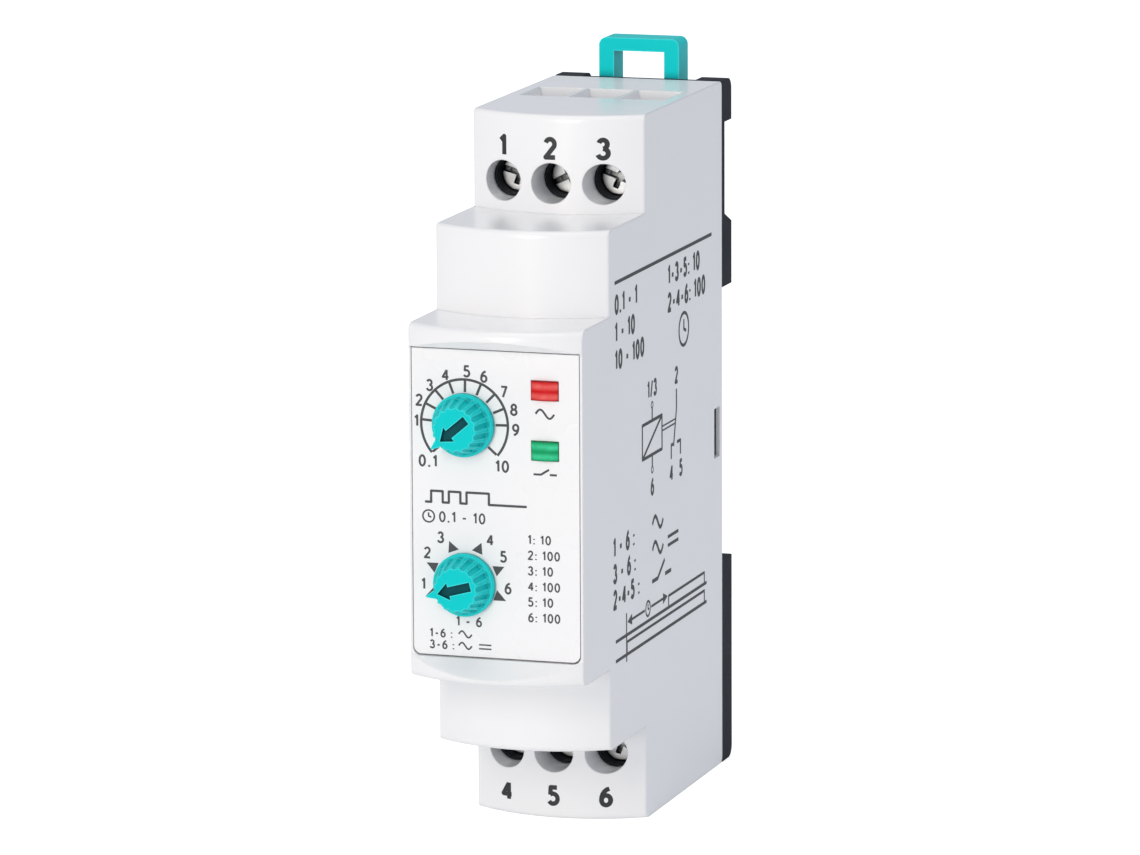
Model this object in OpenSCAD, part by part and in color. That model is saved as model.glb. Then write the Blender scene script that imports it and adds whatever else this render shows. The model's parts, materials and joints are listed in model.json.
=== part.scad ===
// Timing relay module for a 35 mm top-hat rail, in millimetres.
// X runs along the rail, Y runs from the front of the module to the rail and Z is up.
// The origin is the middle of the seat that rests on the rail.

/* [Housing] */
// Width of the module along the rail
body_w = 22.5; // [22:0.5:30]
// Height of the housing
body_h = 90; // [86:1:120]
// Depth of the terminal step at its side edges
terminal_depth = 33.7; // [33:0.1:42]
// How far the middle step stands in front of the terminal step
middle_rise = 15; // [13:0.5:20]
// How far the label plane stands in front of the middle step
nose_rise = 10.9; // [9.5:0.1:16]
// Height of the ledge between the terminal step and the top of the middle step
middle_drop = 12.4; // [12:0.1:13.5]
// Height of the ledge between the bottom of the middle step and the terminal step
middle_lift = 12; // [11.5:0.1:13]
// Distance from the top of the housing to the top of the nose
nose_drop = 23.2; // [22:0.1:24]
// Distance from the bottom of the housing to the bottom of the nose
nose_lift = 22.4; // [21:0.1:23]
// Radius of the bow of every front face
bow_r = 20; // [17:0.5:60]
// Thickness of the two side walls
side_wall = 1.3; // [1:0.1:2]
// Thickness of the walls of the middle step and the nose
step_wall = 1.8; // [1.2:0.1:2.4]
// Thickness of the top and bottom walls round the wire funnels
funnel_wall = 4; // [3:0.1:5]
// Thickness of the front wall at the side edges of the terminal step
well_wall = 2; // [1.6:0.1:3]
// Radius of the upright edges of the terminal and middle steps
edge_r = 0.5; // [0.3:0.05:0.8]
// Radius of the top and bottom edges of the steps
lip_r = 0.8; // [0.5:0.1:1.2]
// Radius of the top and bottom edges of the nose
nose_lip_r = 1.2; // [0.8:0.1:1.6]
// Width of each snap window in the side walls
latch_w = 2.5; // [2:0.1:3]
// Height of each snap window in the side walls
latch_h = 6.5; // [5:0.1:9]

/* [Label plate] */
// Height of the plate
plate_h = 38.4; // [36:0.1:39]
// Thickness of the plate
plate_t = 1.5; // [1.2:0.1:2]
// Width of the housing's lip beside the plate
plate_lip = 0.45; // [0.45:0.05:0.8]
// Seam above and below the plate
seam = 0.2; // [0.1:0.05:0.3]
// Radius of the plate's lower corners
plate_corner_r = 1; // [0.5:0.1:2]

/* [Terminals] */
// Distance between neighbouring terminals
pitch = 6.6; // [6.4:0.1:7]
// Distance from the top or bottom face to the screw axes
screw_drop = 8.6; // [8.4:0.1:9]
// Radius of the screwdriver wells
well_r = 2.58; // [2.4:0.02:2.7]
// Radius of the screw heads
head_r = 2.2; // [1.9:0.1:2.3]
// Height of the screw heads
head_h = 2; // [1.6:0.1:2.2]
// Radius of the screw thread
thread_r = 1.5; // [1.25:0.05:1.6]
// Travel of a cage from open to clamped
cage_travel = 4; // [3.5:0.5:4]
// Height of a wire cage
cage_h = 5; // [4.5:0.1:5]
// Width of the wire space in a cage
wire_w = 4.2; // [4.1:0.1:4.4]
// Depth of the wire space behind an open busbar
wire_d = 5.2; // [4.5:0.1:5.5]
// Thickness of the side walls of a cage
cage_wall = 0.6; // [0.5:0.05:0.7]

/* [Rail foot] */
// Thickness of the foot behind the housing
foot_t = 4.4; // [4.2:0.1:6]
// Height of the channel that takes the rail
rail_gap = 36; // [35.4:0.1:36.5]
// Width of a top-hat rail
rail_w = 35; // [35:0.1:35.2]
// Reach of each hook behind the rail
hook_reach = 1.7; // [1.2:0.1:2]
// Slot between the seat and a hook, for the rail's flange
hook_slot = 1.3; // [1.2:0.05:1.5]
// Depth of the pocket in the seat under each hook
seat_pocket = 0.3; // [0.2:0.05:0.6]
// Width of the sliding foot
slider_w = 10.8; // [10:0.2:12]
// Thickness of the sliding plate
slider_t = 2.2; // [2:0.1:2.3]
// Travel of the sliding foot
slider_travel = 3; // [2.5:0.1:3.2]
// Height of the pull loop above the housing
loop_h = 5.1; // [5:0.1:8]
// Width of the finger hole in the pull loop
loop_hole_w = 6.8; // [6:0.1:7.2]
// Height of the top bar of the pull loop
loop_bar = 1.7; // [1.4:0.1:2.4]

/* [Controls] */
// Distance from the middle of the housing to the two knob axes, to the left
knob_x = 4; // [3.8:0.1:4.2]
// Height of the upper knob above the middle of the label plate
knob_up = 9.9; // [9.5:0.1:10.2]
// Distance between the two knob axes
knob_pitch = 20; // [18:0.5:20]
// Radius of a knob's flange
flange_r = 3.95; // [3.6:0.05:4.2]
// Radius of a knob's grip at its root
grip_r = 3.5; // [3.2:0.05:3.6]
// Radius of a knob's grip at its top
grip_top_r = 2.9; // [2.6:0.05:3]
// Height of a knob above the label plate
knob_h = 4.1; // [3.6:0.1:4.6]
// Radius of a knob's shaft
shaft_r = 1.5; // [1.2:0.05:1.8]
// Flutes round a grip
flutes = 16; // [12:1:20]
// Reach of the pointer nib from the knob axis
nib_reach = 3.9; // [3.7:0.05:4.2]
// Angle of the upper knob's pointer at its lowest setting, clockwise from straight up
time_rest = -130; // [-140:5:-120]
// Angle of the lower knob's pointer at its first position, clockwise from straight up
range_rest = -105; // [-120:5:-90]
// Distance from the middle of the housing to the lenses, to the right
lens_x = 6.4; // [6.2:0.1:6.8]
// Height of the upper lens above the middle of the label plate
lens_up = 14.6; // [14:0.1:15.4]
// Distance between the two lenses
lens_pitch = 7.5; // [6:0.1:8]
// Width of a lens
lens_w = 3.5; // [3:0.1:3.8]
// Height of a lens
lens_h = 2.4; // [2:0.1:2.8]

/* [Electronics] */
// Thickness of the circuit boards
board_t = 1.6; // [1:0.1:1.6]
// Height of the relay above its board
relay_h = 16.5; // [15.5:0.1:16.8]
// Length of the relay
relay_l = 30; // [28:0.5:32]
// Width of the relay
relay_w = 12; // [11:0.5:13]
// Travel of the relay's armature in degrees
armature_tilt = 3; // [2:0.5:3]

/* [Clearances] */
// Clearance between a piece and the piece that it sits in
fit_gap = 0.1; // [0.05:0.01:0.12]
// Radial clearance of every turning shaft
run_gap = 0.06; // [0.03:0.01:0.1]

/* [Hidden] */
$fn = 48;

white = "#F3F4F6";
teal = "#00B9BD";
black = "#24282C";
steel = "#B9BEC4";
copper = "#C77B45";
board_green = "#1E6B47";

half_w = body_w / 2;
half_h = body_h / 2;
cut = 1;                                  // overshoot of every cutting solid
bow_back = sqrt(bow_r * bow_r - half_w * half_w);
bow_rise = bow_r - bow_back;
middle_depth = terminal_depth + middle_rise;
nose_depth = middle_depth + nose_rise;
middle_top = half_h - middle_drop;
middle_bottom = middle_lift - half_h;
nose_top = half_h - nose_drop;
nose_bottom = nose_lift - half_h;

cavity_x = half_w - side_wall;
cavity_h = half_h - funnel_wall;
well_y = -terminal_depth + well_wall;     // inner face of the wall with the screw wells
row_count = 3;                            // terminals in each row
base_plate_t = 2;
latch_y = -1 - latch_w / 2;
latch_z = -0.7;

plate_top = nose_top - 3;
plate_mid = plate_top - plate_h / 2;
plate_x = half_w - plate_lip;
ledge = 1;
label_y = -nose_depth;
plate_back = label_y + plate_t;

// Terminal stack along Y, from the well towards the rail
screw_z = half_h - screw_drop;
head_front = well_y + 2.3;
head_back = head_front + head_h;
shoulder_t = 1;
chamber_front = head_back + shoulder_t;
cage_front_t = 1.8;
cage_back_t = 1.5;
cage_front = chamber_front + cage_travel + fit_gap;
busbar_t = 1;
leg_x = 1.7;                              // half the width of a busbar's leg
screw_tip = cage_front + cage_front_t + 2.3;
busbar_front = screw_tip + run_gap;
busbar_back = busbar_front + busbar_t;
cage_inner_back = busbar_back + wire_d;
cage_back = cage_inner_back + cage_back_t;
cage_x = wire_w / 2 + cage_wall;
block_back = cage_back + 1.5;
block_floor = 2.4;
block_low = screw_z - cage_h / 2 - fit_gap - block_floor;

// Rail foot
slider_x = slider_w / 2;
slider_front = 0.25;
slider_back = slider_front + slider_t;
loop_back = foot_t - fit_gap;
hook_tip = rail_w / 2 - hook_reach;
hook_relief = 0.2;                        // how far a pocket in the seat runs past its hook's tip
ear_gap = 7.7;
guide_ledge = 1.4;                        // reach of each ledge over the sliding foot
guide_h = 9.6;                            // length of the two ledges
loop_root = 5.6;                          // how far the thick end of the sliding foot starts below the top
thin_t = 1.3;
spring_r = 1.1;
spring_wire = 0.45;
spring_low = hook_tip + 6.2;
spring_room = 10.2 + slider_travel;       // length of the spring's slot below the lug at rest
lug_low = spring_low + spring_room;
lug_h = 1.8;
lug_x = 1.5;

// Boards
board_x = -cavity_x + 0.35;
board_face = board_x + board_t;
board_half_h = block_low - 0.6;
main_front = -(middle_depth - step_wall) + 0.9;
pot_t = 5.8;
pot_half = 4.7;
rotor_r = 3;
rotor_t = 1.6;
pot_front = plate_back + 1.2;
shaft_reach = 2.2;                        // reach of a knob's shaft behind the label plate
front_board_y = pot_front + pot_t + 0.05;
relay_y = -14.8;
relay_z = -1;

// ---------- helpers ----------

function terminal_x(i) = (i - (row_count - 1) / 2) * pitch;

// Places its children on the label plane, with their +Z pointing out of the front
module on_label(x, z, out = 0) {
    translate([x, label_y - out, z]) rotate([90, 0, 0]) children();
}

// Cylinder along Y from y0 to y1
module rod_y(r, y0, y1) {
    translate([0, y1, 0]) rotate([90, 0, 0]) cylinder(r = r, h = y1 - y0);
}

// Extrudes an outline drawn in (Y, Z) across X, from x0 to x1
module across(x0, x1) {
    translate([x0, 0, 0]) rotate([90, 0, 90]) linear_extrude(x1 - x0) children();
}

// Box from its lowest to its highest corner
module block(low, high) {
    translate(low) cube(high - low);
}

// Housing step: flat sides and back, bowed front, rounded front edges
module bowed_step(depth, z0, z1, side_r, top_r) {
    axis_y = bow_back - depth;
    side_x = half_w - side_r;
    side_y = axis_y - sqrt(pow(bow_r - side_r, 2) - side_x * side_x);
    reach = bow_r * 1.2;
    fan = reach / (bow_r - side_r);
    intersection() {
        translate([0, 0, z0]) linear_extrude(z1 - z0) union() {
            translate([-half_w, side_y]) square([body_w, -side_y]);
            for (s = [-1, 1]) translate([s * side_x, side_y]) circle(r = side_r);
            polygon([
                [0, axis_y],
                [side_x * fan, axis_y + (side_y - axis_y) * fan],
                [-side_x * fan, axis_y + (side_y - axis_y) * fan]
            ]);
        }
        union() {
            translate([0, axis_y, 0]) rotate_extrude($fn = 96) union() {
                translate([0, z0]) square([bow_r - top_r, z1 - z0]);
                translate([0, z0 + top_r]) square([bow_r, z1 - z0 - 2 * top_r]);
                for (z = [z0 + top_r, z1 - top_r]) translate([bow_r - top_r, z]) circle(r = top_r);
            }
            block([-half_w - cut, axis_y, z0], [half_w + cut, cut, z1]);
        }
    }
}

// Wire funnel of one terminal in the top wall, wide at the face and narrow inside
module wire_funnel() {
    mouth_x = pitch / 2 - 0.25;
    throat_x = wire_w / 2 + 0.1;
    mouth = [busbar_front - 1.9, cage_inner_back + 0.4];
    throat = [busbar_back + 0.1, cage_inner_back];
    slope = 1 + cut / funnel_wall;
    // the walls run on above the face and below the wall by the same slope
    over_x = throat_x + (mouth_x - throat_x) * slope;
    over = throat + (mouth - throat) * slope;
    under_x = throat_x - (mouth_x - throat_x) * (slope - 1);
    under = throat - (mouth - throat) * (slope - 1);
    low = cavity_h - cut;
    high = half_h + cut;
    intersection() {
        translate([0, cut, 0]) rotate([90, 0, 0]) linear_extrude(terminal_depth) polygon([
            [-under_x, low], [under_x, low], [over_x, high], [-over_x, high]
        ]);
        across(-pitch, pitch) polygon([
            [under[0], low], [under[1], low], [over[1], high], [over[0], high]
        ]);
    }
}

// ---------- housing ----------

module outer_steps() {
    bowed_step(terminal_depth, -half_h, half_h, edge_r, lip_r);
    bowed_step(middle_depth, middle_bottom, middle_top, edge_r, lip_r);
    bowed_step(nose_depth, nose_bottom, nose_top, plate_lip - fit_gap, nose_lip_r);
}

// Flat label plane cut into the bow, with a slanted facet above and below it
module label_trench() {
    rise = bow_rise + cut;
    across(-half_w - cut, half_w + cut) polygon([
        [label_y, plate_top],
        [label_y - rise, plate_top + 1.6 * rise / bow_rise],
        [label_y - rise, plate_top - plate_h - 2.2 * rise / bow_rise],
        [label_y, plate_top - plate_h]
    ]);
}

// Outline of the label plate, grown by a gap
module plate_outline(grow_x, grow_z) {
    x = plate_x + grow_x;
    z0 = plate_top - plate_h - grow_z;
    z1 = plate_top + grow_z;
    r = plate_corner_r;
    union() {
        translate([-x + r, z0]) square([2 * x - 2 * r, z1 - z0]);
        translate([-x, z0 + r]) square([2 * x, z1 - z0 - r]);
        for (s = [-1, 1]) translate([s * (x - r), z0 + r]) circle(r = r);
    }
}

module shell() {
    middle_y = -middle_depth + step_wall;
    color(white) difference() {
        outer_steps();
        label_trench();
        // room behind the terminal walls, in the middle step and in the nose
        block([-cavity_x, well_y, -cavity_h], [cavity_x, cut, cavity_h]);
        block([-cavity_x, middle_y, middle_bottom + step_wall],
              [cavity_x, well_y + cut, middle_top - step_wall]);
        block([-cavity_x, plate_back + ledge, nose_bottom + step_wall],
              [cavity_x, middle_y + cut, nose_top - step_wall]);
        // seat and window of the label plate
        translate([0, plate_back, 0]) rotate([90, 0, 0]) linear_extrude(plate_t + cut)
            plate_outline(fit_gap, seam);
        block([-cavity_x, label_y, plate_top - plate_h + ledge],
              [cavity_x, plate_back + ledge + cut, plate_top - ledge]);
        for (side = [0, 1]) mirror([0, 0, side]) for (i = [0 : row_count - 1]) {
            translate([terminal_x(i), 0, screw_z])
                rod_y(well_r, -terminal_depth - bow_rise - cut, well_y + cut);
            translate([terminal_x(i), 0, 0]) wire_funnel();
        }
        // snap windows
        for (s = [-1, 1]) translate([s * half_w, latch_y, latch_z])
            cube([3 * side_wall, latch_w, latch_h], center = true);
        // rounded rear edges
        for (side = [0, 1]) mirror([0, 0, side]) difference() {
            block([-half_w - cut, -lip_r, half_h - lip_r], [half_w + cut, cut, half_h + cut]);
            translate([0, -lip_r, half_h - lip_r]) rotate([0, 90, 0])
                cylinder(r = lip_r, h = body_w + 4 * cut, center = true);
        }
    }
}

module front_plate() {
    knob_z = plate_mid + knob_up;
    color(white) difference() {
        translate([0, plate_back, 0]) rotate([90, 0, 0]) linear_extrude(plate_t) plate_outline(0, 0);
        for (z = [knob_z, knob_z - knob_pitch]) translate([-knob_x, 0, z])
            rod_y(shaft_r + run_gap, label_y - cut, plate_back + cut);
        for (z = [plate_mid + lens_up, plate_mid + lens_up - lens_pitch])
            on_label(lens_x, z, -plate_t - cut) linear_extrude(plate_t + 2 * cut)
                square([lens_w + fit_gap, lens_h + fit_gap], center = true);
    }
}

// ---------- controls ----------

// Fluted knob with a flange, a pointer nib, an arrow recess and a shaft; it points up
module knob() {
    flange_h = 1;
    lift = fit_gap;
    root = lift + flange_h;
    chamfer = 0.2;
    grip_h = knob_h - root - chamfer;
    lean = atan((grip_r - grip_top_r) / grip_h);
    flute_r = 0.42;
    nib_x = 0.6;
    arrow_depth = 0.6;
    difference() {
        union() {
            translate([0, 0, lift]) cylinder(r = flange_r, h = flange_h - chamfer);
            translate([0, 0, root - chamfer]) cylinder(r1 = flange_r, r2 = flange_r - chamfer, h = chamfer);
            difference() {
                union() {
                    translate([0, 0, root - chamfer])
                        cylinder(r1 = grip_r + chamfer * tan(lean), r2 = grip_top_r, h = grip_h + chamfer);
                    translate([0, 0, knob_h - chamfer])
                        cylinder(r1 = grip_top_r, r2 = grip_top_r - chamfer, h = chamfer);
                }
                for (i = [0 : flutes - 1]) rotate([0, 0, (i + 0.5) * 360 / flutes])
                    translate([grip_r + flute_r / 3, 0, root]) rotate([0, -lean, 0])
                        cylinder(r = flute_r, h = knob_h + cut, $fn = 24);
            }
            // pointer nib
            translate([0, 0, root - chamfer]) linear_extrude(knob_h - root + chamfer) polygon([
                [-nib_x, grip_top_r - 0.3], [-nib_x + 0.2, grip_top_r + 0.2], [-0.08, nib_reach],
                [0.08, nib_reach], [nib_x - 0.2, grip_top_r + 0.2], [nib_x, grip_top_r - 0.3]
            ]);
            // shaft
            translate([0, 0, -plate_t - shaft_reach])
                cylinder(r = shaft_r, h = root + plate_t + shaft_reach);
        }
        translate([0, 0, knob_h - arrow_depth]) linear_extrude(arrow_depth + cut) polygon([
            [-0.57, -2], [0.57, -2], [0.57, 0.9], [1.1, 0.9], [0, 2.4], [-1.1, 0.9], [-0.57, 0.9]
        ]);
    }
}

module time_knob() {
    color(teal) on_label(-knob_x, plate_mid + knob_up) rotate([0, 0, -time_rest]) knob();
}

module range_knob() {
    color(teal) on_label(-knob_x, plate_mid + knob_up - knob_pitch) rotate([0, 0, -range_rest]) knob();
}

// Rectangular lens with a shallow crown, and a flange behind the plate
module lens() {
    crown = 0.45;
    crown_r = (crown * crown + lens_w * lens_w / 4) / (2 * crown) + 0.6;
    union() {
        intersection() {
            translate([0, 0, -plate_t / 2 + crown / 2])
                cube([lens_w, lens_h, plate_t + crown], center = true);
            translate([0, 0, crown - crown_r]) rotate([90, 0, 0])
                cylinder(r = crown_r, h = lens_h + cut, center = true);
        }
        translate([-lens_w / 2 - 0.5, -lens_h / 2 - 0.5, -plate_t - 0.7])
            cube([lens_w + 1, lens_h + 1, 0.7 - 0.02]);
        translate([-lens_w / 2, -lens_h / 2, -plate_t - 0.1]) cube([lens_w, lens_h, plate_t - 0.3]);
    }
}

module power_lens() {
    color("#D8222A") on_label(lens_x, plate_mid + lens_up) lens();
}

module output_lens() {
    color("#12A56B") on_label(lens_x, plate_mid + lens_up - lens_pitch) lens();
}

// ---------- rail foot ----------

// Side outline of the part of the foot behind the housing
module foot_outline() {
    corner = 1.5;
    channel = rail_gap / 2;
    pad_top = channel + 8.2;
    pad_slope = 1.3;
    top_pad = half_h - 5.5;
    union() {
        translate([0, top_pad]) square([foot_t - corner, half_h - top_pad]);
        translate([0, top_pad]) square([foot_t, half_h - top_pad - corner]);
        translate([foot_t - corner, half_h - corner]) circle(r = corner);
        translate([0, channel]) square([thin_t, half_h - channel]);
        polygon([
            [0, channel], [foot_t, channel], [foot_t, pad_top],
            [thin_t, pad_top + pad_slope], [0, pad_top + pad_slope]
        ]);
        translate([0, -half_h]) square([foot_t - corner, half_h - channel]);
        translate([0, corner - half_h]) square([foot_t, half_h - channel - corner]);
        translate([foot_t - corner, corner - half_h]) circle(r = corner);
    }
}

module rear_base() {
    channel = rail_gap / 2;
    plate_half = cavity_x - fit_gap;
    guide = slider_x + fit_gap;
    color(black) difference() {
        union() {
            across(-half_w, half_w) foot_outline();
            block([-plate_half, -base_plate_t, -cavity_h + fit_gap], [plate_half, 0, cavity_h - fit_gap]);
            // fixed hook under the rail
            block([-guide, hook_slot, -channel - cut], [guide, foot_t, -hook_tip]);
            // snap tabs in the windows of the housing
            for (s = [-1, 1]) translate([s * (half_w - side_wall - 0.15), latch_y, latch_z])
                cube([1.9, latch_w - 2 * fit_gap, latch_h - 2 * fit_gap], center = true);
            for (s = [-1, 1]) translate([s * (plate_half - 0.5), latch_y, latch_z])
                cube([1, latch_w + 0.6, latch_h - 2 * fit_gap], center = true);
        }
        // pockets in the seat under the two hooks
        for (side = [0, 1]) mirror([0, 0, side])
            block([-guide, -seat_pocket, hook_tip - hook_relief], [guide, hook_slot / 2, channel]);
        // channel of the sliding foot, with two ledges that hold it at the rail end
        block([-guide, slider_front - fit_gap, channel - cut],
              [guide, slider_back + fit_gap, half_h + cut]);
        block([-guide + guide_ledge, slider_front, channel - cut],
              [guide - guide_ledge, foot_t + cut, half_h + cut]);
        block([-guide, slider_front, channel + guide_h], [guide, foot_t + cut, half_h + cut]);
        block([-ear_gap, slider_front - fit_gap, half_h - loop_root],
              [ear_gap, foot_t + cut, half_h + cut]);
    }
    // lug that the spring pushes against
    color(black)
        block([-lug_x, slider_front - fit_gap, lug_low], [lug_x, slider_back + 0.6, lug_low + lug_h]);
}

module rail_slider() {
    thick_low = half_h - loop_root + fit_gap;
    hole_low = half_h - 1.1;
    top = half_h + loop_h;
    corner = 1;
    hook_x = slider_x - 1.5;
    slot_top = lug_low + lug_h + 0.4;
    color(teal) difference() {
        union() {
            block([-slider_x, slider_front, rail_w / 2 + 0.3], [slider_x, slider_back, thick_low + cut]);
            translate([0, loop_back, 0]) rotate([90, 0, 0])
            linear_extrude(loop_back - slider_front) union() {
                translate([-slider_x, thick_low]) square([slider_w, top - corner - thick_low]);
                translate([corner - slider_x, thick_low]) square([slider_w - 2 * corner, top - thick_low]);
                for (s = [-1, 1]) translate([s * (slider_x - corner), top - corner]) circle(r = corner);
            }
            block([-hook_x, hook_slot, hook_tip], [hook_x, loop_back, hook_tip + 5.5]);
        }
        // finger hole
        block([-loop_hole_w / 2, slider_front - cut, hole_low],
              [loop_hole_w / 2, foot_t + cut, top - loop_bar]);
        // slot for the spring and the lug
        block([-lug_x - fit_gap, slider_front - cut, spring_low],
              [lug_x + fit_gap, foot_t + cut, slot_top]);
    }
}

// Coil spring in the slot of the sliding foot
module slider_spring() {
    turns = 7;
    steps = 12;
    sides = 6;
    wire = spring_wire / 2;
    length = lug_low - spring_low - spring_wire - 0.1;
    count = turns * steps;
    middle = slider_front + slider_t / 2 + 0.2;
    points = [
        for (i = [0 : count]) for (j = [0 : sides - 1])
            let (a = i * 360 / steps, b = j * 360 / sides, r = spring_r + wire * cos(b))
            [r * cos(a), r * sin(a), i * length / count + wire * sin(b)]
    ];
    walls = [
        for (i = [0 : count - 1]) for (j = [0 : sides - 1])
            let (k = (j + 1) % sides)
            [i * sides + j, i * sides + k, (i + 1) * sides + k, (i + 1) * sides + j]
    ];
    ends = [
        [for (j = [sides - 1 : -1 : 0]) j],
        [for (j = [0 : sides - 1]) count * sides + j]
    ];
    color(steel) translate([0, middle, spring_low + wire + 0.05])
        polyhedron(points, concat(walls, ends), convexity = 4);
}

// ---------- terminals ----------

// Carrier of one row of terminals; the upper row
module terminal_block() {
    chamber_x = cage_x + fit_gap / 2;
    well = head_r + 0.15;
    difference() {
        block([-cavity_x + fit_gap, well_y + fit_gap, block_low],
              [cavity_x - fit_gap, block_back, cavity_h - fit_gap]);
        for (i = [0 : row_count - 1]) translate([terminal_x(i), 0, screw_z]) {
            rod_y(well, well_y - cut, head_back + fit_gap / 2);
            rod_y(thread_r + run_gap, head_front, chamber_front + cut);
            block([-chamber_x, chamber_front, -cage_h / 2 - fit_gap / 2],
                  [chamber_x, block_back + cut, cage_h / 2 + fit_gap / 2]);
            block([-wire_w / 2 - 0.1, busbar_back + fit_gap, 0],
                  [wire_w / 2 + 0.1, cage_inner_back, screw_z]);
            block([-leg_x - fit_gap, busbar_front - fit_gap, -screw_z],
                  [leg_x + fit_gap, busbar_back + fit_gap, cage_h / 2 + fit_gap / 2]);
        }
    }
}

module terminal_block_top() {
    color(black) terminal_block();
}

module terminal_block_bottom() {
    color(black) mirror([0, 0, 1]) terminal_block();
}

// Places terminal n, 1 to 3 along the top row and 4 to 6 along the bottom row
module at_terminal(n) {
    row = n > row_count ? 1 : 0;
    mirror([0, 0, row]) translate([terminal_x((n - 1) % row_count), 0, screw_z]) children();
}

module screw(n) {
    slot_w = 0.75;
    cross_w = 0.7;
    turn = (n * 47) % 90 - 30;
    color(steel) at_terminal(n) difference() {
        union() {
            rod_y(head_r, head_front, head_back);
            rod_y(thread_r, head_back - 0.1, screw_tip);
        }
        translate([0, head_front, 0]) rotate([0, turn, 0]) {
            block([-head_r - cut, -cut, -slot_w / 2], [head_r + cut, 0.8, slot_w / 2]);
            block([-cross_w / 2, -cut, -1.5], [cross_w / 2, 1.1, 1.5]);
            block([-1.5, -cut, -cross_w / 2], [1.5, 1.1, cross_w / 2]);
        }
    }
}

module cage(n) {
    color(steel) at_terminal(n) difference() {
        block([-cage_x, cage_front, -cage_h / 2], [cage_x, cage_back, cage_h / 2]);
        block([-wire_w / 2, cage_front + cage_front_t, -cage_h], [wire_w / 2, cage_inner_back, cage_h]);
        rod_y(thread_r + run_gap / 2, cage_front - cut, cage_front + cage_front_t + cut);
    }
}

// Current bar: an upright leg through the cage and a cross bar to the circuit board
module busbar(n) {
    i = (n - 1) % row_count;
    bar_high = block_low - 0.8 - i * 1.6;
    bar_low = bar_high - 1;
    reach = board_face - terminal_x(i);
    foot = max(reach, -leg_x);
    color(copper) at_terminal(n) translate([0, 0, -screw_z]) {
        block([-leg_x, busbar_front, block_low], [leg_x, busbar_back, screw_z + cage_h / 2 - 0.3]);
        block([foot, busbar_front, bar_low], [leg_x, busbar_back, block_low + 0.5]);
        block([reach, busbar_front, bar_low], [foot + 0.5, busbar_back, bar_high]);
    }
}

module terminal_screw_1() { screw(1); }
module terminal_screw_2() { screw(2); }
module terminal_screw_3() { screw(3); }
module terminal_screw_4() { screw(4); }
module terminal_screw_5() { screw(5); }
module terminal_screw_6() { screw(6); }
module wire_cage_1() { cage(1); }
module wire_cage_2() { cage(2); }
module wire_cage_3() { cage(3); }
module wire_cage_4() { cage(4); }
module wire_cage_5() { cage(5); }
module wire_cage_6() { cage(6); }
module busbar_1() { busbar(1); }
module busbar_2() { busbar(2); }
module busbar_3() { busbar(3); }
module busbar_4() { busbar(4); }
module busbar_5() { busbar(5); }
module busbar_6() { busbar(6); }

// ---------- boards ----------

// Upright board along the left wall, notched round the snap tab of the foot
module main_board() {
    notch = latch_h / 2 + 0.2;
    color(board_green) difference() {
        block([board_x, main_front, -board_half_h],
              [board_face, -base_plate_t - fit_gap, board_half_h]);
        block([board_x - cut, -latch_w - 1.7, latch_z - notch],
              [board_face + cut, 0, latch_z + notch]);
    }
}

module front_board() {
    gap = 0.3;
    edge = cavity_x - gap;
    color(board_green) block([-edge, front_board_y, nose_bottom + step_wall + gap],
                             [edge, front_board_y + board_t, nose_top - step_wall - gap]);
}

// Pin header between the two boards
module board_link() {
    link_y = front_board_y + board_t + 0.05;
    link_h = 16;
    color("#2B2B2B") block([board_face + 0.05, link_y, plate_mid - link_h / 2],
                           [board_face + 2.6, main_front + 3, plate_mid + link_h / 2]);
}

// Square control body with a round pocket for its rotor
module control_body(z, shade) {
    color(shade) difference() {
        block([-knob_x - pot_half, pot_front, z - pot_half],
              [-knob_x + pot_half, pot_front + pot_t, z + pot_half]);
        translate([-knob_x, 0, z]) rod_y(rotor_r + run_gap, pot_front - cut, pot_front + rotor_t + run_gap);
    }
}

// Round rotor with a socket for the knob's shaft
module control_rotor(z) {
    color("#E8E4D8") translate([-knob_x, 0, z]) difference() {
        rod_y(rotor_r, pot_front, pot_front + rotor_t);
        rod_y(shaft_r + run_gap / 2, pot_front - cut, plate_back + shaft_reach + 0.02);
    }
}

module time_pot_body() { control_body(plate_mid + knob_up, "#2F5FA8"); }
module time_pot_rotor() { control_rotor(plate_mid + knob_up); }
module range_switch_body() { control_body(plate_mid + knob_up - knob_pitch, "#303338"); }
module range_switch_rotor() { control_rotor(plate_mid + knob_up - knob_pitch); }

// Light emitting diode on the front board, behind its lens
module led(z, shade) {
    dome_y = pot_front + 1.6;
    color(shade) translate([lens_x, 0, z]) union() {
        rod_y(1.9, front_board_y - 1, front_board_y - 0.02);
        rod_y(1.5, dome_y, front_board_y - 0.5);
        translate([0, dome_y, 0]) rotate([90, 0, 0]) sphere(r = 1.5);
    }
}

module power_led() { led(plate_mid + lens_up, "#E7B7B4"); }
module output_led() { led(plate_mid + lens_up - lens_pitch, "#B9DCC4"); }

// ---------- relay; drawn with X up from the board and Z along its length ----------

arm_u = 10;
arm_t = 1;
core_end = 7.7;
end_plate = -11.5;
blade_u = arm_u + 3;
contact_w = -4.6;
contact_r = 1;
core_u = 5.4;
core_r = 1.5;
// underside of the armature at rest, so that it just clears the core when it is pulled in
armature_low = core_end + 0.28 + (arm_u + arm_t - core_u + core_r) * sin(armature_tilt);
blade_swing = (armature_low - contact_w) * sin(armature_tilt);

module on_relay() {
    translate([board_face, relay_y, relay_z]) children();
}

module relay_base() {
    color("#3A3F46") on_relay() block([0.05, -relay_w / 2, -relay_l / 2], [1.6, relay_w / 2, relay_l / 2]);
}

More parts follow.
